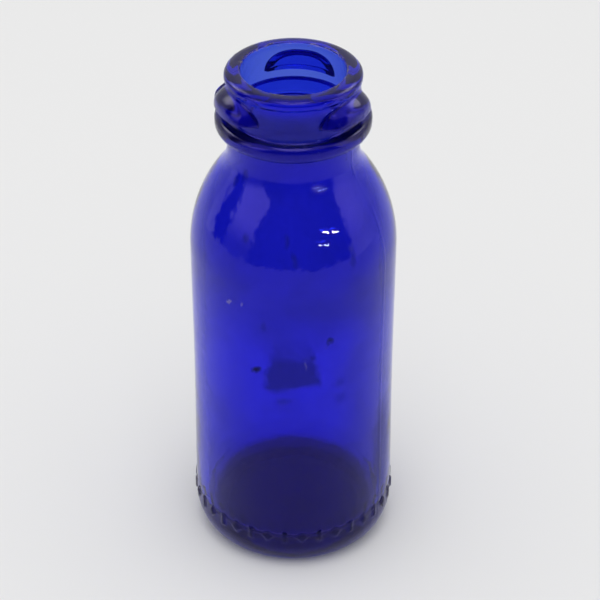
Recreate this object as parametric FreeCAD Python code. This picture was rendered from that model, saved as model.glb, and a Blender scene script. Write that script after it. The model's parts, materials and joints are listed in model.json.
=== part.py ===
"""Small round medicine bottle of pressed and blown blue glass, open at the mouth.

The glass is one profile turned about the Z axis. It is divided where the maker's
moulds divide it, and at the changes of form between: base, heel, body, shoulder,
neck, transfer bead, finish wall and lip. Three half-moon lugs stand on the finish
wall and take a lug cap. A row of plain raised marks runs along the front of the heel.
Millimetres, Z up, origin at the middle of the ring that the bottle stands on.
"""
import FreeCAD, Part
import math
import os

Vector = FreeCAD.Vector

# Driving dimensions: overall
overall_height = 101.0
body_radius = 19.35
body_wall_thickness = 2.2      # glass of the body just above the floor
shoulder_wall_thickness = 2.3  # glass where the body meets the shoulder

# Base and heel
heel_inset = 3.95        # how far the heel curve draws in from the body to the foot
heel_rise = 5.95         # how high the heel curve climbs
heel_fullness = 0.58     # weight of the heel curve: less is flatter
heel_band_height = 3.85  # upright band above the heel curve that carries the marks
foot_width = 2.4         # width of the flat ring that the bottle stands on
push_up = 0.9            # height of the hollow under the base
base_thickness = 5.1     # glass between that hollow and the floor inside
floor_corner = 2.0       # radius between the floor inside and the wall

# Raised marks along the front of the heel, lozenges and bars in turn
mark_pairs = 10
mark_pitch = 10.0        # degrees from one mark to the next
mark_height = 2.9
lozenge_width = 2.3
bar_width = 1.2
mark_relief = 0.3

# Body and shoulder
panel_hollow = 0.155     # how far the label panel is drawn in at its middle
shoulder_curve = 26.86
neck_wall_thickness = 2.62
neck_hollow = 7.0        # radius of the outer corner between shoulder and neck
neck_length = 3.54       # upright neck below the bead
throat_drop = 15.6       # lip to the throat, where the bore starts to widen
throat_corner = 7.5      # radius by which it widens into the shoulder

# Finish: the moulded mouth, measured down from the lip
bore_radius = 9.53
bore_edge = 0.4
finish_wall_thickness = 2.72  # glass of the plain wall between the bead and the lip
lip_overhang = 0.28      # how far the lip stands out from that wall
lip_round = 1.06
lip_crown = 1.7          # how far the rounded top of the lip reaches in from its outer edge
lip_height = 2.4
bead_drop = 8.5          # lip to the flat top of the bead
bead_depth = 3.5         # flat top to the foot of the bead
bead_projection = 2.2    # how far the bead stands out from the neck
bead_section = 1.65      # round of the lower edge of the bead
crown_share = 0.58       # round of its upper edge, as a share of the flat top
cove_share = 0.33        # round between the flat top and the wall above, in the same way

# Lugs
lug_count = 3
lug_first_azimuth = 55.0  # degrees from the front, towards the right
lug_projection = 2.3      # crest of the lugs beyond the finish wall
lug_half_angle = 39.0
lug_drop = 6.4            # lip to the flat underside of the lugs
lug_rise = 4.1            # underside to the top of the half-moon
lug_taper = 0.32          # share by which the half-moon shrinks from root to crest
lug_seat_draft = 0.3      # slope of the flat underside

# Places worked out from the sizes above
foot_radius = body_radius - heel_inset
band_top = heel_rise + heel_band_height
floor_height = push_up + base_thickness
neck_radius = bore_radius + neck_wall_thickness
bead_radius = neck_radius + bead_projection
finish_radius = bore_radius + finish_wall_thickness
bead_crown = (bead_radius - finish_radius) * crown_share
bead_cove = (bead_radius - finish_radius) * cove_share
lip_radius = finish_radius + lip_overhang
lug_radius = finish_radius + lug_projection
lip_flat_edge = lip_radius - lip_crown
lip_low = overall_height - lip_height
bead_top = overall_height - bead_drop
bead_foot = bead_top - bead_depth
neck_low = bead_foot - neck_length
throat_height = overall_height - throat_drop
lug_height = overall_height - lug_drop
hollow_centre = neck_radius + neck_hollow
throat_centre = bore_radius + throat_corner
ellipse = math.sqrt(0.5)  # fullness of a quarter of an ellipse


def circle_height(centre_radius, section, radius):
    """Height above its middle at which a round section reaches a radius."""
    return math.sqrt(section ** 2 - (radius - centre_radius) ** 2)


shoulder_rise = circle_height(
    body_radius - shoulder_curve,
    shoulder_curve + neck_hollow,
    hollow_centre,
)
shoulder_low = neck_low - shoulder_rise


def point(radius, height):
    """A point of the profile, in the XZ plane."""
    return Vector(radius, 0, height)


def line(start, end):
    return Part.LineSegment(start, end).toShape()


def arc(start, middle, end):
    return Part.Arc(start, middle, end).toShape()


def on_circle(centre, radius, degrees):
    turn = math.radians(degrees)
    return centre + Vector(radius * math.cos(turn), 0, radius * math.sin(turn))


def round_arc(centre, radius, first, last):
    """Arc about a centre, by the angles of its two ends in the XZ plane."""
    turns = (first, (first + last) / 2, last)
    return arc(*[on_circle(centre, radius, turn) for turn in turns])


def rational_corner(start, corner, end, fullness):
    """Conic from start to end that is tangent to the two lines through the corner."""
    curve = Part.BezierCurve()
    curve.setPoles([start, corner, end])
    curve.setWeight(2, fullness)
    return curve.toShape()


def shoulder_edges(body, curve, corner_middle, corner):
    """Shoulder arc and the corner that turns it upright, from the body to the neck."""
    middle = point(body - curve, shoulder_low)
    across = corner_middle - middle
    tangent = math.degrees(math.atan2(across.z, across.x))
    shoulder = round_arc(middle, curve, 0, tangent)
    turn = round_arc(corner_middle, corner, 180 + tangent, 180)
    return [shoulder, turn]


def outside_edges():
    """The outer profile, from the middle of the base to the middle of the lip."""
    foot_inside = point(foot_radius - foot_width, 0)
    foot = point(foot_radius, 0)
    heel_top = point(body_radius, heel_rise)
    body_low = point(body_radius, band_top)
    body_high = point(body_radius, shoulder_low)
    panel = point(body_radius - panel_hollow, (band_top + shoulder_low) / 2)
    hollow_radius = (foot_inside.x ** 2 + push_up ** 2) / (2 * push_up)
    hollow_end = math.degrees(math.acos(foot_inside.x / hollow_radius))
    hollow = round_arc(point(0, push_up - hollow_radius), hollow_radius, 90, hollow_end)
    heel = rational_corner(foot, point(body_radius, 0), heel_top, heel_fullness)
    corner_middle = point(hollow_centre, neck_low)
    shoulder = shoulder_edges(body_radius, shoulder_curve, corner_middle, neck_hollow)
    neck_top = point(neck_radius, bead_foot)
    low_middle = point(bead_radius - bead_section, bead_foot + bead_section)
    crown_middle = point(bead_radius - bead_crown, bead_top - bead_crown)
    cove_middle = point(finish_radius + bead_cove, bead_top + bead_cove)
    lip_middle = point(lip_radius - lip_round, overall_height - lip_round)
    below_lip = lip_middle.z - circle_height(lip_middle.x, lip_round, finish_radius)
    lip_start = point(finish_radius, below_lip)
    lip_side = on_circle(lip_middle, lip_round, 0)
    underhang = math.degrees(math.acos((finish_radius - lip_middle.x) / lip_round))
    lip = round_arc(lip_middle, lip_round, -underhang, 0)
    lip_edge = point(lip_radius, overall_height)
    crown = rational_corner(lip_side, lip_edge, point(lip_flat_edge, overall_height), ellipse)
    return [
        hollow,
        line(foot_inside, foot),
        heel,
        line(heel_top, body_low),
        arc(body_low, panel, body_high),
        *shoulder,
        line(point(neck_radius, neck_low), neck_top),
        line(neck_top, point(low_middle.x, bead_foot)),
        round_arc(low_middle, bead_section, -90, 0),
        line(point(bead_radius, low_middle.z), point(bead_radius, crown_middle.z)),
        round_arc(crown_middle, bead_crown, 0, 90),
        line(point(crown_middle.x, bead_top), point(cove_middle.x, bead_top)),
        round_arc(cove_middle, bead_cove, 270, 180),
        line(point(finish_radius, cove_middle.z), lip_start),
        lip,
        crown,
    ]


def inside_edges():
    """The inner profile, from the middle of the floor to the edge of the lip."""
    inner_radius = body_radius - body_wall_thickness
    upper_radius = body_radius - shoulder_wall_thickness
    floor_end = point(inner_radius - floor_corner, floor_height)
    floor_middle = point(inner_radius - floor_corner, floor_height + floor_corner)
    wall_low = point(inner_radius, floor_height + floor_corner)
    wall_high = point(upper_radius, shoulder_low)
    corner_middle = point(throat_centre, throat_height)
    inset = throat_centre - upper_radius
    rise = throat_height - shoulder_low
    inner_curve = (rise ** 2 + inset ** 2 - throat_corner ** 2) / (throat_corner - inset) / 2
    shoulder = shoulder_edges(upper_radius, inner_curve, corner_middle, throat_corner)
    throat = point(bore_radius, throat_height)
    bore_top = point(bore_radius, overall_height - bore_edge)
    edge_middle = point(bore_radius + bore_edge, overall_height - bore_edge)
    return [
        line(point(0, floor_height), floor_end),
        round_arc(floor_middle, floor_corner, 270, 360),
        line(wall_low, wall_high),
        *shoulder,
        line(throat, bore_top),
        round_arc(edge_middle, bore_edge, 180, 90),
    ]


def turned_glass():
    """The whole bottle: both profiles, joined over the lip and along the axis, turned once."""
    lip_flat = line(
        point(lip_flat_edge, overall_height),
        point(bore_radius + bore_edge, overall_height),
    )
    axis = line(point(0, push_up), point(0, floor_height))
    edges = outside_edges() + [lip_flat] + inside_edges() + [axis]
    outline = Part.Wire(Part.__sortEdges__(edges))
    return Part.Face(outline).revolve(Vector(0, 0, 0), Vector(0, 0, 1), 360)


def disc(radius, low, high):
    return Part.makeCylinder(radius, high - low, Vector(0, 0, low))


def zone(glass, low, high):
    """The part of the glass between two parting heights."""
    return glass.common(disc(2 * body_radius, low, high))


def facing(shape, azimuth):
    """Turn a shape made towards the front, which is -Y, to an azimuth towards the right."""
    turned = shape.copy()
    turned.rotate(Vector(0, 0, 0), Vector(0, 0, 1), azimuth)
    return turned


def half_moon(reach, half_width, low, high):
    """Half-moon outline, flat side down, upright at a distance in front of the axis."""
    left = Vector(-half_width, -reach, low)
    right = Vector(half_width, -reach, low)
    top = Vector(0, -reach, high)
    right_curve = rational_corner(right, Vector(half_width, -reach, high), top, ellipse)
    left_curve = rational_corner(top, Vector(-half_width, -reach, high), left, ellipse)
    return Part.Wire([line(left, right), right_curve, left_curve])


def lug():
    """One half-moon lug: full size where it leaves the finish wall, smaller at its crest."""
    half_turn = math.radians(lug_half_angle)
    root = finish_radius * math.cos(half_turn)
    root_half_width = finish_radius * math.sin(half_turn)
    crest_half_width = lug_radius * math.sin(half_turn) * (1 - lug_taper)
    crest_top = lug_height + lug_rise * (1 - lug_taper)
    wall_share = (finish_radius - root) / (lug_radius - root)
    root_top = crest_top + lug_rise * lug_taper / (1 - wall_share)
    root_outline = half_moon(root, root_half_width, lug_height, root_top)
    crest_outline = half_moon(
        lug_radius,
        crest_half_width,
        lug_height + lug_seat_draft,
        crest_top,
    )
    pad = Part.makeLoft([root_outline, crest_outline], True, True)
    ring = disc(lug_radius, 0, overall_height).cut(disc(finish_radius, 0, overall_height))
    return pad.common(ring)


def heel_mark(width, corners):
    """One mark on the upright band, facing front: corners are shares of its half width and height."""
    middle = heel_rise + heel_band_height / 2
    places = [
        Vector(across * width / 2, 0, middle + up * mark_height / 2)
        for across, up in corners
    ]
    outline = Part.makePolygon(places + [places[0]])
    bar = Part.Face(outline).extrude(Vector(0, -2 * body_radius, 0))
    raised = disc(body_radius + mark_relief, 0, band_top).cut(disc(body_radius, 0, band_top))
    return bar.common(raised)


def heel_marks():
    """Lozenges and bars in turn, spread evenly to both sides of the front."""
    lozenge = heel_mark(lozenge_width, [(-1, 0), (0, -1), (1, 0), (0, 1)])
    bar = heel_mark(bar_width, [(-1, -1), (1, -1), (1, 1), (-1, 1)])
    marks = []
    for index in range(mark_pairs):
        azimuth = (2 * index - mark_pairs + 0.5) * mark_pitch
        marks.append(facing(lozenge, azimuth))
        marks.append(facing(bar, azimuth + mark_pitch))
    return Part.makeCompound(marks)


glass = turned_glass()
foot_disc = disc(foot_radius, 0, band_top)
lowest = zone(glass, 0, band_top)
nodes = {
    "base": lowest.common(foot_disc),
    "heel_band": lowest.cut(foot_disc),
    "body_wall": zone(glass, band_top, shoulder_low),
    "shoulder": zone(glass, shoulder_low, neck_low),
    "neck": zone(glass, neck_low, bead_foot),
    "transfer_bead": zone(glass, bead_foot, bead_top),
    "finish_wall": zone(glass, bead_top, lip_low),
    "lip_ring": zone(glass, lip_low, overall_height),
}
nodes["heel_marks"] = heel_marks()
front_lug = lug()
for index in range(lug_count):
    azimuth = lug_first_azimuth + index * 360 / lug_count
    nodes[f"cap_lug_{index + 1}"] = facing(front_lug, azimuth)

os.makedirs("parts", exist_ok=True)
for name, shape in nodes.items():
    shape.exportStep(f"parts/{name}.step")
    print(name, len(shape.Solids), "solids", round(shape.Volume, 2), "mm3", shape.isValid())
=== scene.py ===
import functools
import json
import math
import bpy
from mathutils import Matrix, Vector


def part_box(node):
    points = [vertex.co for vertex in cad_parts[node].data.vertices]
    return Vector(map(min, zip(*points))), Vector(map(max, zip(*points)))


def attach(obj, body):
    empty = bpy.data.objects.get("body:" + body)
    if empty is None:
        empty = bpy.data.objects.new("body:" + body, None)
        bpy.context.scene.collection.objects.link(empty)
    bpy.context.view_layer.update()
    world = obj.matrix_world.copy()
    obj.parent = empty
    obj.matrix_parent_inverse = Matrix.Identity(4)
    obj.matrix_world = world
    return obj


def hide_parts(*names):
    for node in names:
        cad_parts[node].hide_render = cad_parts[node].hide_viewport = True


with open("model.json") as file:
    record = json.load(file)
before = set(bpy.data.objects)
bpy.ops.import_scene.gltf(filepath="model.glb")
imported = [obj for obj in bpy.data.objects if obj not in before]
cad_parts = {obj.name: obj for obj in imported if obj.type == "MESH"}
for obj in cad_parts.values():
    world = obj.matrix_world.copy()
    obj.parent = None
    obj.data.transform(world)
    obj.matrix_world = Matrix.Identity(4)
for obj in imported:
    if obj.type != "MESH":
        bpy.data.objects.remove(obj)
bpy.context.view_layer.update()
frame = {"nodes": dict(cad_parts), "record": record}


# The bottle: one piece of deep blue glass, pressed at the mouth and blown in a
# two-part mould. Its outline is turned about the axis, and the lugs, the heel marks
# and the two mould seams stand out of that turned wall, all in the same glass.
MM = 0.001


def top_of(node):
    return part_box(node)[1].z


def reach_of(node):
    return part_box(node)[1].x


foot_radius = reach_of("base")
body_radius = reach_of("heel_band")
band_top = top_of("heel_band")
shoulder_low = top_of("body_wall")
neck_low = top_of("shoulder")
neck_radius = reach_of("neck")
bead_foot = top_of("neck")
bead_radius = reach_of("transfer_bead")
bead_top = top_of("transfer_bead")
lug_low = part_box("cap_lug_1")[0].z
lip_radius = reach_of("lip_ring")
lip_top = top_of("lip_ring")
mouth = next(mount for mount in frame["record"]["mounts"] if mount["name"] == "mouth_bore")
bore_radius = mouth["dims"]["r_mm"] * MM

inner_radius = body_radius - 2.2 * MM
upper_radius = body_radius - 2.3 * MM
foot_inside = foot_radius - 2.4 * MM
foot_edge = 0.3 * MM
push_up = 0.9 * MM
push_up_curve = 1.4 * foot_inside
floor_height = 6.0 * MM
floor_corner = 2.0 * MM
heel_rise = 5.95 * MM
heel_fullness = 0.58
panel_hollow = 0.155 * MM
shoulder_curve = 26.86 * MM
neck_hollow = 7.0 * MM
neck_cove = 0.7 * MM
throat_corner = 7.5 * MM
throat_height = lip_top - 15.6 * MM
bead_under = 0.99 * 1.65 * MM
bead_crown = 1.2 * MM
bead_cove = 0.7 * MM
finish_radius = lip_radius - 0.28 * MM
lip_round = 1.06 * MM
lip_crown = 1.7 * MM
lip_cove = 0.3 * MM
lip_under = 0.5 * MM
bore_edge = 0.4 * MM
bore_low = lip_top - 2 * MM

base_step = 1.6 * MM
band_step = 0.2 * MM
seat_step = 0.1 * MM
lug_step = 0.24 * MM
lip_step = 0.4 * MM
inside_step = 2.2 * MM
heel_steps = 16
panel_steps = 22
lip_steps = 12
seat_rows_low = lug_low - 0.2 * MM
seat_rows_top = lug_low + 0.6 * MM
lug_rows_top = lug_low + 4.2 * MM
arc_turn = math.radians(11)
arc_step = 1.2 * MM
arc_least = 4


def toward(start, end, reach):
    """The point at a distance from start, on the way to end."""
    share = reach / math.dist(start, end)
    return tuple(a + (b - a) * share for a, b in zip(start, end))


def conic(start, corner, end, fullness, count):
    """Points of a curve that is tangent to the two lines through its corner."""
    points = []
    for step in range(count + 1):
        t = step / count
        shares = (1 - t) ** 2, 2 * fullness * t * (1 - t), t ** 2
        whole = sum(shares)
        points.append(tuple(
            sum(share * knot[axis] for share, knot in zip(shares, (start, corner, end))) / whole
            for axis in (0, 1)
        ))
    return points


def round_corner(before, corner, after, radius):
    """Points of the arc that rounds a corner between two straight lines."""
    coming = math.atan2(corner[1] - before[1], corner[0] - before[0])
    going = math.atan2(after[1] - corner[1], after[0] - corner[0])
    bend = abs(math.remainder(going - coming, math.tau))
    reach = radius * math.tan(bend / 2)
    count = max(arc_least, math.ceil(bend / arc_turn), math.ceil(radius * bend / arc_step))
    start, end = toward(corner, before, reach), toward(corner, after, reach)
    return conic(start, corner, end, math.cos(bend / 2), count)


def rounded_line(corners):
    """A line through corners of radius, height and rounding."""
    line = [corners[0][:2]]
    for before, corner, after in zip(corners, corners[1:], corners[2:]):
        if corner[2]:
            line += round_corner(before[:2], corner[:2], after[:2], corner[2])
        else:
            line.append(corner[:2])
    return line + [corners[-1][:2]]


def stepped(line, step):
    """The same line with its points no further apart than a step."""
    fine_line = [line[0]]
    for start, end in zip(line, line[1:]):
        length = math.dist(start, end)
        if length < 1e-9:
            continue
        count = max(1, math.ceil(length / step - 0.01))
        fine_line += [toward(start, end, length * part / count) for part in range(1, count + 1)]
    return fine_line


def shoulder_corners(body, arc, throat, hollow):
    """The corners of a shoulder, where its slope meets the body and the neck."""
    axis = body - arc
    run = throat + hollow - axis
    steepness = math.sqrt((arc + hollow) ** 2 - run ** 2) / run
    slope = math.atan(steepness)
    touch = (axis + arc * math.cos(slope), shoulder_low + arc * math.sin(slope))
    low = touch[1] - (axis + arc - touch[0]) / steepness
    high = touch[1] + (touch[0] - throat) / steepness
    return [(axis + arc, low, arc), (throat, high, hollow)]


base_line = stepped(rounded_line([
    (0, push_up, 0),
    (foot_inside / 2, push_up, push_up_curve),
    (foot_inside, 0, foot_edge),
    (foot_radius, 0, 0),
]), base_step)
heel_line = conic(
    (foot_radius, 0),
    (body_radius, 0),
    (body_radius, heel_rise),
    heel_fullness,
    heel_steps,
)
band_line = stepped([(body_radius, heel_rise), (body_radius, band_top)], band_step)
panel_line = [
    (
        body_radius - panel_hollow * math.sin(math.pi * step / panel_steps) ** 2,
        band_top + (shoulder_low - band_top) * step / panel_steps,
    )
    for step in range(1, panel_steps)
]
shoulder_line = rounded_line([
    (body_radius, shoulder_low, 0),
    *shoulder_corners(body_radius, shoulder_curve, neck_radius, neck_hollow),
    (neck_radius, bead_foot, 0),
])
bead_line = rounded_line([
    (neck_radius, neck_low, 0),
    (neck_radius, bead_foot, neck_cove),
    (bead_radius, bead_foot, bead_under),
    (bead_radius, bead_top, bead_crown),
    (finish_radius, bead_top, bead_cove),
    (finish_radius, seat_rows_low, 0),
])
seat_line = stepped([(finish_radius, seat_rows_low), (finish_radius, seat_rows_top)], seat_step)
lug_line = stepped([(finish_radius, seat_rows_top), (finish_radius, lug_rows_top)], lug_step)
lip_foot_line = rounded_line([
    (finish_radius, lug_rows_top, 0),
    (finish_radius, lip_top - 2 * lip_round, lip_cove),
    (lip_radius, lip_top - 1.5 * lip_round, lip_under),
    (lip_radius, lip_top - lip_round, 0),
])
lip_line = conic(
    (lip_radius, lip_top - lip_round),
    (lip_radius, lip_top),
    (lip_radius - lip_crown, lip_top),
    math.sqrt(0.5),
    lip_steps,
)
bore_line = stepped(rounded_line([
    (lip_radius - lip_crown, lip_top, 0),
    (bore_radius, lip_top, bore_edge),
    (bore_radius, bore_low, 0),
]), lip_step)
inset = bore_radius + throat_corner - upper_radius
inner_rise = throat_height - shoulder_low
inner_curve = (inner_rise ** 2 + inset ** 2 - throat_corner ** 2) / (throat_corner - inset) / 2
inside_line = stepped(rounded_line([
    (bore_radius, bore_low, 0),
    *reversed(shoulder_corners(upper_radius, inner_curve, bore_radius, throat_corner)),
    (upper_radius, shoulder_low, 0),
    (inner_radius, floor_height, floor_corner),
    (0, floor_height, 0),
]), inside_step)
outline = (
    base_line + heel_line[1:] + band_line[1:] + panel_line + shoulder_line[:-1]
    + bead_line[:-1] + seat_line[:-1] + lug_line[:-1]
    + lip_foot_line[:-1] + lip_line[:-1] + bore_line + inside_line[1:]
)


class Wire:
    """A socket of a node tree that can stand in a Python expression."""

    def __init__(self, tree, socket=None):
        self.tree = tree
        self.socket = socket

    def node(self, kind, settings=None, inputs=None, output=0):
        """Add a node: its settings first, then the values or links of its sockets."""
        made = self.tree.nodes.new(kind)
        for name, value in (settings or {}).items():
            setattr(made, name, value)
        for key, value in (inputs or {}).items():
            if isinstance(value, Wire):
                self.tree.links.new(value.socket, made.inputs[key])
            else:
                made.inputs[key].default_value = value
        return Wire(self.tree, made.outputs[output] if made.outputs else None)

    def math(self, operation, *values):
        return self.node("ShaderNodeMath", {"operation": operation}, dict(enumerate(values)))

    def __add__(self, other):
        return self.math("ADD", self, other)

    def __sub__(self, other):
        return self.math("SUBTRACT", self, other)

    def __rsub__(self, other):
        return self.math("SUBTRACT", other, self)

    def __mul__(self, other):
        return self.math("MULTIPLY", self, other)

    def __truediv__(self, other):
        return self.math("DIVIDE", self, other)

    def __rtruediv__(self, other):
        return self.math("DIVIDE", other, self)

    def __abs__(self):
        return self.math("ABSOLUTE", self)

    __radd__ = __add__
    __rmul__ = __mul__

    def larger(self, other):
        return self.math("MAXIMUM", self, other)

    def power(self, exponent):
        return self.math("POWER", self, exponent)

    def length(self, other):
        """The longest side of a right-angled triangle."""
        return self.math("SQRT", self * self + other * other)

    def off_nearest(self, period):
        """Signed distance from the nearest whole number of periods."""
        return self - self.math("ROUND", self / period) * period

    def eased(self, low, high):
        """A smooth step from 0 at low to 1 at high."""
        ramp = {"Value": self, "From Min": low, "From Max": high}
        return self.node("ShaderNodeMapRange", {"interpolation_type": "SMOOTHSTEP"}, ramp)

    def noise(self, scale, detail):
        """A soft noise around 0.5, over the places that this wire holds."""
        inputs = {"Vector": self, "Scale": scale, "Detail": detail}
        return self.node("ShaderNodeTexNoise", {"noise_dimensions": "3D"}, inputs)

    def parts(self):
        """The three numbers of a vector."""
        split = self.node("ShaderNodeSeparateXYZ", inputs={0: self}).socket.node
        return [Wire(self.tree, number) for number in split.outputs]


turning = bpy.data.node_groups.new("turned glass", "GeometryNodeTree")
turning.interface.new_socket("Outline", in_out="INPUT", socket_type="NodeSocketGeometry")
turning.interface.new_socket("Glass", in_out="OUTPUT", socket_type="NodeSocketGeometry")
relief_sizes = {
    "Steps Round": 360.0,
    "Lug Count": 3.0,
    "First Lug": math.radians(55.5),
    "Lug Half Angle": math.radians(35.5),
    "Back Lug Shift": math.radians(3.3),
    "Back Lug Spread": math.radians(2.3),
    "Lug Fullness": 2.4,
    "Lug Underside": lug_low,
    "Lug Rise": 4.15 * MM,
    "Lug Crest": finish_radius + 2.3 * MM,
    "Lug Flank": 0.7,
    "Lug Crown": 3.0,
    "Lug Root": 1.5,
    "Seat Slope": 0.4 * MM,
    "Mark Pairs": 10.0,
    "Mark Pitch": math.radians(10),
    "Mark Middle": (heel_rise + band_top) / 2,
    "Mark Height": 2.9 * MM,
    "Mark Slope": 0.25,
    "Lozenge Width": 2.3 * MM,
    "Bar Width": 1.2 * MM,
    "Bar Slope": 0.6,
    "Mark Relief": 0.3 * MM,
    "Seam Angle": math.radians(60),
    "Seam Width": 0.5 * MM,
    "Seam Height": 0.05 * MM,
    "Wall Waves": 0.12 * MM,
    "Wave Stretch": 0.45,
}
for name in relief_sizes:
    turning.interface.new_socket(name, in_out="INPUT", socket_type="NodeSocketFloat")
given = turning.nodes.new("NodeGroupInput")
wire = Wire(turning)
size = {name: Wire(turning, given.outputs[name]) for name in relief_sizes}
profile = Wire(turning, given.outputs["Outline"])
rows = wire.node("GeometryNodeAttributeDomainSize", inputs={"Geometry": profile})
columns = size["Steps Round"] + 1
sheet = wire.node("GeometryNodeMeshGrid", inputs={"Vertices X": rows, "Vertices Y": columns})
index = wire.node("GeometryNodeInputIndex")
row = wire.math("FLOOR", (index + 0.5) / columns)
turn = (index - row * columns) * math.tau / size["Steps Round"]
sine, cosine = wire.math("SINE", turn), wire.math("COSINE", turn)
profile_point = wire.node(
    "GeometryNodeSampleIndex",
    {"data_type": "FLOAT_VECTOR"},
    {"Geometry": profile, "Value": wire.node("GeometryNodeInputPosition"), "Index": row},
)
radius, outside, height = profile_point.parts()

# The lugs are pillows with a level seat below, and the back one is a little longer.
lug_turn = (turn - size["First Lug"]).off_nearest(math.tau / size["Lug Count"])
above_seat = height - size["Lug Underside"]
behind = wire.math("LESS_THAN", cosine, 0)
lug_middle = lug_turn + behind * size["Back Lug Shift"]
lug_across = lug_middle / (size["Lug Half Angle"] + behind * size["Back Lug Spread"])
lug_up = above_seat / size["Lug Rise"]
fullness = size["Lug Fullness"]
off_middle = (abs(lug_across).power(fullness) + abs(lug_up).power(fullness)).power(1 / fullness)
below_crest = 1 - ((1 - off_middle) / size["Lug Flank"]).larger(0)
lug_swell = (1 - below_crest.larger(0).power(size["Lug Crown"])).power(size["Lug Root"])
lug_seat = above_seat.eased(0, size["Seat Slope"])
lug_lift = (size["Lug Crest"] - radius).larger(0) * lug_swell * lug_seat

# The heel marks are plain lozenges and bars by turns, with sloped edges.
pair_pitch = size["Mark Pitch"] * 2
off_front = turn.off_nearest(math.tau)
marked = wire.math("LESS_THAN", abs(off_front), size["Mark Pairs"] * size["Mark Pitch"])
mark_up = abs(height - size["Mark Middle"]) * 2 / size["Mark Height"]
lozenge_turn = off_front - size["Mark Pitch"] / 2
lozenge_across = abs(lozenge_turn.off_nearest(pair_pitch)) * radius * 2 / size["Lozenge Width"]
lozenge = (1 - lozenge_across - mark_up).eased(0, size["Mark Slope"])
bar_turn = off_front + size["Mark Pitch"] / 2
bar_across = abs(bar_turn.off_nearest(pair_pitch)) * radius * 2 / size["Bar Width"]
bar_ends = (1 - mark_up).eased(0, size["Mark Slope"])
bar = (1 - bar_across).eased(0, size["Bar Slope"]) * bar_ends
mark = lozenge.larger(bar) * marked
mark_lift = size["Mark Relief"] * mark

# The mould seams are two fine ridges, half a turn apart.
seam_across = abs((turn - size["Seam Angle"]).off_nearest(math.pi)) * radius
seam_lift = size["Seam Height"] * (1 - seam_across / size["Seam Width"]).eased(0, 1)

# The inner wall was blown and touched no mould, so it waves a little.
on_wall = wire.node("ShaderNodeCombineXYZ", inputs={
    "X": radius * sine,
    "Y": radius * cosine,
    "Z": height * size["Wave Stretch"],
})
off_axis = (radius / bore_radius).eased(0.5, 1.5)
wave = (on_wall.noise(55.0, 1.0) - 0.5) * 2 * size["Wall Waves"] * off_axis
wide = radius + (lug_lift + mark_lift + seam_lift) * outside + wave * (1 - outside)
turned = wire.node("ShaderNodeCombineXYZ", inputs={
    "X": wide * sine,
    "Y": 0 - wide * cosine,
    "Z": height,
})
shaped = wire.node("GeometryNodeSetPosition", inputs={"Geometry": sheet, "Position": turned})
for name, value in (("heel_mark", mark * outside), ("outer_face", outside)):
    shaped = wire.node(
        "GeometryNodeStoreNamedAttribute",
        {"data_type": "FLOAT", "domain": "POINT"},
        {"Geometry": shaped, "Name": name, "Value": value},
    )
closed = wire.node("GeometryNodeMergeByDistance", inputs={"Geometry": shaped, "Distance": 1e-6})
outward = wire.node("GeometryNodeFlipFaces", inputs={"Mesh": closed})
smooth = wire.node("GeometryNodeSetShadeSmooth", inputs={"Geometry": outward})
real = wire.node("GeometryNodeRealizeInstances", inputs={"Geometry": smooth})


# The blue of the glass is in its body, so it deepens with the thickness that light
# crosses. The surface is fire-polished and clear. An old bottle's wear lies on it: a
# film where a label was, a few dark spots, pale specks and scratches, and fine dust.
# The same films also carry painted light and shade: a dark film over the base is
# painted shade, the heel marks have painted shade on their faces and a painted
# highlight on their sloped edges, and a dark band low on the right is a painted dark
# reflection.
def empty_tree(owner):
    """The node tree of a material or a world, emptied, as a wire."""
    owner.use_nodes = True
    owner.node_tree.nodes.clear()
    return Wire(owner.node_tree)


blue_glass = bpy.data.materials.new("blue_glass")
glass = empty_tree(blue_glass)
where = glass.node("ShaderNodeTexCoord", output="Object")
east, north, up = where.parts()
off_centre = east.length(north)
round_wall = glass.math("ARCTAN2", east, 0 - north) * body_radius
outer_face = glass.node("ShaderNodeAttribute", {"attribute_name": "outer_face"}, output="Fac")
heel_mark = glass.node("ShaderNodeAttribute", {"attribute_name": "heel_mark"}, output="Fac")
haze = where.noise(300.0, 3.0)
ripple = where.noise(150.0, 4.0)
ragged = where.noise(500.0, 4.0)
fine = where.noise(1500.0, 3.0)
streaks = where.noise(110.0, 3.0)
grain = (fine - 0.5) * 0.9 * MM
fret = (ragged - 0.5) * 2.2 * MM + grain
torn = (haze - 0.5) * 2.6 * MM + grain

label_foot = 44 * MM
label_full = 49 * MM
label_strip_top = 51.5 * MM
label_fade_top = 61 * MM
left_lean, right_lean, foot_tilt = 0.13, 0.17, 0.08
label_strength, label_strip_strength = 0.34, 0.22
above_foot = (up - label_foot).larger(0)
label_left = (round_wall + fret - above_foot * left_lean).eased(-6.1 * MM, -4.3 * MM)
label_right = (round_wall + torn + above_foot * right_lean).eased(6.2 * MM, 4.4 * MM)
label_low = up + torn - round_wall * foot_tilt
label_patch = label_left * label_right * label_low.eased(42.9 * MM, 44.7 * MM)
label_strip = label_strip_strength * (up + torn).eased(label_strip_top, label_full)
label_film = label_strength * (up + fret).eased(label_fade_top, label_full)
label = label_patch * (label_film + label_strip)

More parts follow.
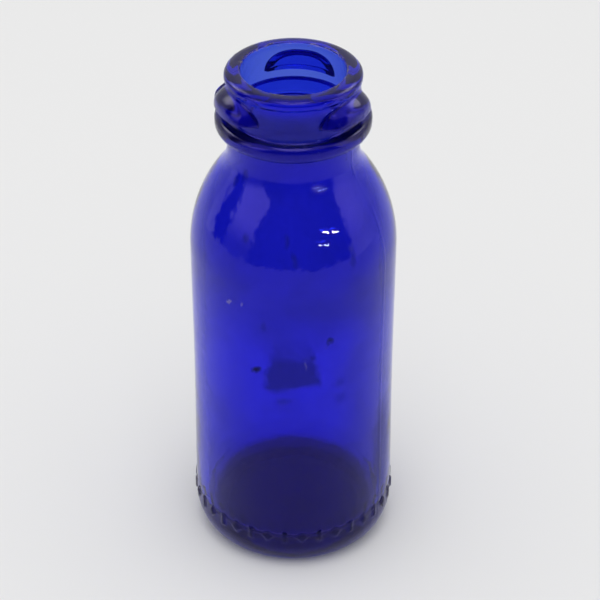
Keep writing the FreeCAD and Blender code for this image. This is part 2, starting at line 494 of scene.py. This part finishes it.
# The strength and the fade of each kind of mark, and for each mark its place round the
# body from the front, its height, its half width and its half height, in millimetres.
dark_marks = {
    "panel film": (0.14, 0.6, [(1, 58, 13, 9)]),
    # The film low on the right is a painted dark reflection, not a stain.
    "painted reflection low on the right": (0.32, 0.6, [(21.5, 22, 5, 16)]),
    "stains": (0.28, 0.9, [(-5.6, 57.2, 1.5, 2.6), (-1.7, 40.7, 2.2, 1.3)]),
    "faint stains": (0.2, 0.9, [(9, 44, 1.8, 1.7), (9.3, 40.1, 2, 1.7)]),
    "left spot": (0.9, 0.9, [(-6.8, 47.3, 1.6, 1.4)]),
    "right spot": (0.72, 0.9, [(7.0, 54.3, 1.2, 1.2)]),
    "middle spot": (0.5, 0.9, [(3.6, 50.8, 1.2, 1.9)]),
    "shoulder stains": (0.32, 0.9, [
        (-1.3, 75.1, 0.9, 2.0),
        (0.3, 71.8, 1.0, 1.8),
        (-10.2, 74.5, 1.4, 1.4),
        (-17.9, 82.1, 1.7, 1.4),
        (-15.0, 84.0, 1.6, 2.2),
        (11.8, 70.5, 1.1, 3.0),
    ]),
}
pale_marks = {
    "speck": (0.22, 0.6, [(-12.8, 60.6, 0.45, 0.55)]),
    "small speck": (0.132, 0.6, [(-9.8, 61.0, 0.5, 0.5)]),
    "chips": (0.04, 0.5, [(3.3, 35.0, 0.5, 0.4), (-5.2, 31.8, 0.4, 0.35)]),
    "scratch": (0.04, 1.0, [(2.6, 49.6, 0.28, 1.7)]),
}


def ragged_patch(fade, middle, rise, half_width, half_height):
    """A ragged patch on the wall."""
    sideways = (round_wall + fret - middle * MM) / (half_width * MM)
    upright = (up + torn - rise * MM) / (half_height * MM)
    return (1 - sideways.length(upright)).eased(0, fade)


def face_marks(marks):
    """A table's marks on the outer face, the strongest at each place."""
    patches = [
        strength * ragged_patch(fade, *place)
        for strength, fade, places in marks.values()
        for place in places
    ]
    return functools.reduce(Wire.larger, patches) * outer_face


# The base film is painted shade: a dark film over the base, where the table under the bottle
# lies in its shadow.
base_shade_film, mark_shade_film, mark_highlight_film, dust_film, lip_fleck_film = 0.25, 0.42, 0.06, 0.3, 0.3
dark_film_and_shade_colour = (0.005, 0.006, 0.012, 1)
pale_film_and_highlight_colour = (0.5, 0.44, 0.38, 1)
base_inside = up.eased(8.5 * MM, 6.5 * MM) * off_centre.eased(17 * MM, 15 * MM)
# On the heel marks, the dark film on their faces is painted shade, and the pale film on their
# sloped edges is a painted highlight.
mark_face_shade = heel_mark.eased(0.6, 0.95)
mark_edge_highlight = heel_mark.eased(0.05, 0.3) * heel_mark.eased(0.75, 0.35)
dust_grains = glass.node("ShaderNodeTexVoronoi", inputs={"Vector": where, "Scale": 420.0})
dust = dust_grains.eased(0.09, 0.05) * haze.eased(0.58, 0.66)
# Pale flecks along the inner edge of the lip.
lip_edge = up.eased(100.3 * MM, 100.7 * MM) * off_centre.eased(10.4 * MM, 9.9 * MM)
lip_flecks = lip_edge * fine.eased(0.56, 0.66)
# The dark films: real stains and wear, and painted shade over the base, on the faces of the heel
# marks and in the dark band low on the right.
dark_wear_and_shade = (label * outer_face).larger(face_marks(dark_marks))
dark_wear_and_shade = dark_wear_and_shade.larger(base_shade_film * base_inside).larger(mark_shade_film * mark_face_shade)
# The pale films: specks, scratches, dust and the lip flecks, and a painted highlight on the
# sloped edges of the heel marks.
pale_wear_and_highlight = face_marks(pale_marks).larger(dust_film * dust)
pale_wear_and_highlight = pale_wear_and_highlight.larger(mark_highlight_film * mark_edge_highlight).larger(lip_fleck_film * lip_flecks)
# The film's colour and shader serve both the wear and the painted light and shade.
wear_and_shade_colour = glass.node(
    "ShaderNodeMix",
    {"data_type": "RGBA"},
    {0: pale_wear_and_highlight.eased(0, 0.1), 6: dark_film_and_shade_colour, 7: pale_film_and_highlight_colour},
    output=2,
)
wear_and_shade_film = glass.node("ShaderNodeBsdfPrincipled", inputs={
    "Base Color": wear_and_shade_colour,
    "Roughness": 0.8,
    "Specular IOR Level": 0.1,
})

# The surface holds back some light too: red and green all round below the finish, and blue by
# zones, most of them on the front half. On the front half the blue is deeper on the shoulder, on
# the finish, at the left and the right below the shoulder, and in streaks, and all round it is
# deeper on the finish. Under the base the deeper blue is painted shade, where the table under
# the bottle lies in its shadow. The zones were set by how the glass looks, and not by a measured
# wall. The gloss is tinted blue, which that of plain glass isn't, and the strips and the glow of
# the cards are yellowish to make up for it.
red_held, green_held = 0.3, 0.5
shoulder_held, finish_front_held = 0.36, 0.26
left_held, right_held, streaks_held = 0.1, 0.28, 0.14
base_shade_held, finish_held = 0.75, 0.12
in_finish = up.eased(87 * MM, 91 * MM)
below_finish = 1 - in_finish
below_shoulder = up.eased(70 * MM, 62 * MM)
front = up.eased(99 * MM, 96 * MM) * north.eased(2 * MM, -4 * MM)
high_front = shoulder_held * up.eased(48 * MM, 64 * MM) + finish_front_held * in_finish
left_side = left_held * round_wall.eased(-6 * MM, -13 * MM)
right_side = right_held * round_wall.eased(6 * MM, 16 * MM)
sides = (left_side + right_side) * below_shoulder + streaks_held * streaks.eased(0.42, 0.68)
# Under the base the blue held back is painted shade.
ends = (base_shade_held * base_inside).larger(finish_held * in_finish)
passed = glass.node("ShaderNodeCombineColor", inputs={
    "Red": 1 - red_held * below_finish,
    "Green": 1 - green_held * below_finish,
    "Blue": (1 - high_front * front) * (1 - sides * front) * (1 - ends),
})
clear = glass.node("ShaderNodeBsdfPrincipled", inputs={
    "Base Color": passed,
    "Roughness": haze.eased(0.5, 0.9) * 0.03,
    "IOR": 1.52,
    "Specular Tint": (0.36, 0.28, 1.0, 1),
    "Transmission Weight": 1.0,
    "Normal": glass.node("ShaderNodeBump", inputs={
        "Strength": 0.32,
        "Distance": 0.2 * MM,
        "Height": ripple,
    }),
})
bloom = glass.node("ShaderNodeBsdfPrincipled", inputs={
    "Base Color": (0.03, 0.025, 0.6, 1),
    "Roughness": 0.6,
    "Specular IOR Level": 0.0,
})
wall_bloom, thick_bloom = 0.01, 0.04
thick_heel = up.eased(10.5 * MM, 8.5 * MM) * (1 - base_inside)
thick_glass = up.eased(86 * MM, 90 * MM).larger(thick_heel)
bloom_share = wall_bloom + thick_bloom * thick_glass
bloomed = glass.node("ShaderNodeMixShader", inputs={0: bloom_share, 1: clear, 2: bloom})
wear_and_shade_share = dark_wear_and_shade.larger(pale_wear_and_highlight)
surface = glass.node("ShaderNodeMixShader", inputs={0: wear_and_shade_share, 1: bloomed, 2: wear_and_shade_film})
blue_body = glass.node("ShaderNodeVolumeAbsorption", inputs={
    "Color": (0.13, 0.32, 0.955, 1),
    "Density": 1000.0,
})
glass.node("ShaderNodeOutputMaterial", inputs={"Surface": surface, "Volume": blue_body})

dressed = wire.node("GeometryNodeSetMaterial", inputs={"Geometry": real, "Material": blue_glass})
wire.node("NodeGroupOutput", inputs={"Glass": dressed})


def set_out(name, data):
    """An object for a mesh, a lamp or a camera, linked into the scene."""
    made = bpy.data.objects.new(name, data)
    bpy.context.scene.collection.objects.link(made)
    return made


line_mesh = bpy.data.meshes.new("bottle outline")
outside_count = len(outline) - len(inside_line)
line_mesh.from_pydata(
    [(reach, float(order < outside_count), rise) for order, (reach, rise) in enumerate(outline)],
    [(start, start + 1) for start in range(len(outline) - 1)],
    [],
)
maker = set_out("bottle_maker", line_mesh)
modifier = maker.modifiers.new("turned glass", "NODES")
modifier.node_group = turning
for socket in turning.interface.items_tree:
    if socket.in_out == "INPUT" and socket.name in relief_sizes:
        modifier[socket.identifier] = relief_sizes[socket.name]
bpy.context.view_layer.update()
graph = bpy.context.evaluated_depsgraph_get()
bottle_mesh = bpy.data.meshes.new_from_object(maker.evaluated_get(graph))
bpy.data.objects.remove(maker)
bottle = set_out("bottle_glass", bottle_mesh)
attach(bottle, "root")
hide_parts(*frame["nodes"])


# The floor: a plain table top of pale matt board, laid flat under the bottle and wide
# enough to fill every view. The bottle's soft shadow falls on it.
floor_half = 4.0
square = (-1, -1), (1, -1), (1, 1), (-1, 1)
floor_mesh = bpy.data.meshes.new("floor")
floor_corners = [(x * floor_half, y * floor_half, 0) for x, y in square]
floor_mesh.from_pydata(floor_corners, [], [(0, 1, 2, 3)])
floor = set_out("floor", floor_mesh)
pale_table = bpy.data.materials.new("pale_table")
table = empty_tree(pale_table)
matt = table.node("ShaderNodeBsdfPrincipled", inputs={
    "Base Color": (0.815, 0.815, 0.815, 1),
    "Roughness": 0.8,
    "Specular IOR Level": 0.05,
})
table.node("ShaderNodeOutputMaterial", inputs={"Surface": matt})
floor_mesh.materials.append(pale_table)


# The light tent: creased cloth, hung round the front of the bottle, pale where it is
# lit at the left and the right and dark in the middle. Only the gloss of the glass
# shows it, as the patches on the shoulder.
tent_radius = 0.34
tent_height = 0.42
tent_reach = 112
tent_steps = 56
crease_reach = 26
left_lean_angle, left_lean_top = 55, 0.3
hem_glow, hem_ragged = 0.36, 0.12
tent_corners = []
for step in range(tent_steps + 1):
    azimuth = math.radians(tent_reach * (2 * step / tent_steps - 1))
    post = tent_radius * math.sin(azimuth), -tent_radius * math.cos(azimuth)
    tent_corners += [(*post, 0), (*post, tent_height)]
tent_faces = [(at, at + 2, at + 3, at + 1) for at in range(0, 2 * tent_steps, 2)]
tent_mesh = bpy.data.meshes.new("light_tent")
tent_mesh.from_pydata(tent_corners, [], tent_faces)
tent = set_out("light_tent", tent_mesh)
tent_cloth = bpy.data.materials.new("tent_cloth")
cloth = empty_tree(tent_cloth)
on_cloth = cloth.node("ShaderNodeTexCoord", output="Object")
cloth_east, cloth_north, cloth_up = on_cloth.parts()
crease = on_cloth.noise(30.0, 4.0) - 0.5
straight_round = cloth.math("ARCTAN2", cloth_east, 0 - cloth_north) * (180 / math.pi)
round_tent = straight_round + crease * crease_reach
lit_above = cloth_up.eased(0.05, 0.2)
left_lean_in = left_lean_angle * (left_lean_top - cloth_up).larger(0)
left_inner = (round_tent + left_lean_in).eased(-33, -39)
left_wall = left_inner * round_tent.eased(-82, -75) * (0.15 + 0.85 * lit_above)
right_fade = 1 - 0.45 * round_tent.eased(78, 105)
right_wall = round_tent.eased(60, 69) * right_fade * (0.6 + 0.4 * lit_above)
back_wall = 0.5 * round_tent.eased(-97, -102)
hem = hem_glow * (cloth_up - crease * hem_ragged).eased(0.012, 0.002)
cloth_glow = left_wall.larger(right_wall).larger(back_wall).larger(hem)
lit_cloth = cloth.node("ShaderNodeBsdfPrincipled", inputs={
    "Base Color": (0.02, 0.02, 0.022, 1),
    "Roughness": 0.9,
    "Emission Color": cloth.node("ShaderNodeCombineColor", inputs={
        "Red": cloth_glow,
        "Green": cloth_glow,
        "Blue": cloth_glow,
    }),
    "Emission Strength": 2.2,
})
cloth.node("ShaderNodeOutputMaterial", inputs={"Surface": lit_cloth})
tent_mesh.materials.append(tent_cloth)


def show_in_gloss_alone(thing):
    thing.visible_camera = False
    thing.visible_diffuse = False
    thing.visible_transmission = False
    thing.visible_shadow = False


show_in_gloss_alone(tent)


# The cards: two sheets of pale card, held up behind the bottle at the left and the
# right, each with a soft glow in its middle. Only the gloss of the glass shows them, on
# the crests of the lugs.
card_middle = Vector((0.3, 0.2, 0.4))
card_half = 0.17
card_glow_core = 0.02
card_glow_level = 1.1
card_strength = 5.0
card_pale = 0.164
card_glow_colour = (0.95, 1.0, 0.6)
card_facing = (Vector((0, 0, lip_top)) - card_middle).normalized()
card_side = card_facing.cross(Vector((0, 0, 1))).normalized() * card_half
card_rise = card_side.cross(card_facing)
card_corners = []
for hand in (1, -1):
    for sideways, upwards in square:
        corner = card_middle + sideways * card_side + upwards * card_rise
        card_corners.append((corner.x * hand, corner.y, corner.z))
card_mesh = bpy.data.meshes.new("side_cards")
card_mesh.from_pydata(card_corners, [], [(0, 1, 2, 3), (4, 5, 6, 7)])
cards = set_out("side_cards", card_mesh)
card_paper = bpy.data.materials.new("card_paper")
paper = empty_tree(card_paper)
paper_east, paper_north, paper_up = paper.node("ShaderNodeTexCoord", output="Object").parts()
on_card = paper.node(
    "ShaderNodeCombineXYZ",
    inputs={"X": abs(paper_east), "Y": paper_north, "Z": paper_up},
)
off_card_middle = paper.node(
    "ShaderNodeVectorMath",
    {"operation": "DISTANCE"},
    {0: on_card, 1: card_middle},
    output="Value",
)
card_glow = card_glow_level * off_card_middle.eased(card_half, card_glow_core)
lit_paper = paper.node("ShaderNodeBsdfPrincipled", inputs={
    "Base Color": (0.0, 0.0, 0.0, 1),
    "Roughness": 0.9,
    "Specular IOR Level": 0.0,
    "Emission Color": paper.node("ShaderNodeCombineColor", inputs={
        channel: card_pale + card_glow * share
        for channel, share in zip(("Red", "Green", "Blue"), card_glow_colour)
    }),
    "Emission Strength": card_strength,
})
paper.node("ShaderNodeOutputMaterial", inputs={"Surface": lit_paper})
card_mesh.materials.append(card_paper)
show_in_gloss_alone(cards)


# The lamps: one wide soft lamp, hung overhead and a little to the front, and three
# small strips inside the tent, to the right of the camera. The strips add no light to
# the table, and show as the bright glints on the shoulder.
def lamp(name, left, right, depth, aim, radiance):
    """A flat lamp between two ends, turned towards a point."""
    light = bpy.data.lights.new(name, "AREA")
    light.shape = "RECTANGLE"
    light.size = (right - left).length
    light.size_y = depth
    light.energy = radiance * light.size * depth * math.pi
    made = set_out(name, light)
    middle = (left + right) / 2
    side = (right - left).normalized()
    rise = (middle - aim).normalized().cross(side)
    made.matrix_world = Matrix((side, rise, side.cross(rise))).transposed().to_4x4()
    made.location = middle
    return made


overhead_middle = Vector((0, -0.25, 1.3))
overhead_half = Vector((0.3, 0, 0))
overhead_depth = 0.9
overhead_radiance = 2.5
table_middle = Vector((0, 0, 0))
lamp(
    "overhead",
    overhead_middle - overhead_half,
    overhead_middle + overhead_half,
    overhead_depth,
    table_middle,
    overhead_radiance,
)

shoulder_front = Vector((0.008, -0.014, 0.075))
strip_distance = 0.3
strip_depth = 0.005
strip_colour = (0.8, 1.0, 0.3)
strips = {
    "strip_high_left": ((34.5, 17.4), (43, 15.1), 160.0),
    "strip_high_right": ((46, 14.3), (53.7, 12.3), 160.0),
    "strip_low": ((27, 7.3), (39, 5.2), 60.0),
}


def seen_from_shoulder(azimuth, elevation):
    """The end of a strip, by its angle to the right of the camera and above the level."""
    az, el = math.radians(azimuth), math.radians(elevation)
    way = Vector((math.sin(az) * math.cos(el), -math.cos(az) * math.cos(el), math.sin(el)))
    return shoulder_front + way * strip_distance


for name, (left_end, right_end, radiance) in strips.items():
    left, right = seen_from_shoulder(*left_end), seen_from_shoulder(*right_end)
    strip = lamp(name, left, right, strip_depth, shoulder_front, radiance)
    strip.data.color = strip_colour
    strip.visible_diffuse = False


# The surround: the even pale room about the table, which lights the bottle from all
# sides and shows through its glass.
surround = bpy.data.worlds.new("pale surround")
bpy.context.scene.world = surround
room = empty_tree(surround)
room_light = room.node("ShaderNodeBackground", inputs={
    "Color": (1, 1, 1, 1),
    "Strength": 0.82,
})
room.node("ShaderNodeOutputWorld", inputs={"Surface": room_light})


# The camera: a long lens that stands in front of the bottle and looks down on it. Its
# lens and shift are worked out from a square image, in pixels.
image_side = 600
focal_pixels = 2374.26
axis_pixel = 293.4
look_down = 34.595
view = bpy.data.cameras.new("camera")
view.sensor_width = 36.0
view.lens = focal_pixels / image_side * view.sensor_width
view.shift_x = (image_side / 2 - axis_pixel) / image_side
camera = set_out("camera", view)
camera.location = (0, -372.963 * MM, 307.916 * MM)
camera.rotation_euler = (math.radians(90 - look_down), 0, 0)
bpy.context.scene.camera = camera
bpy.context.scene.view_settings.view_transform = "Standard"
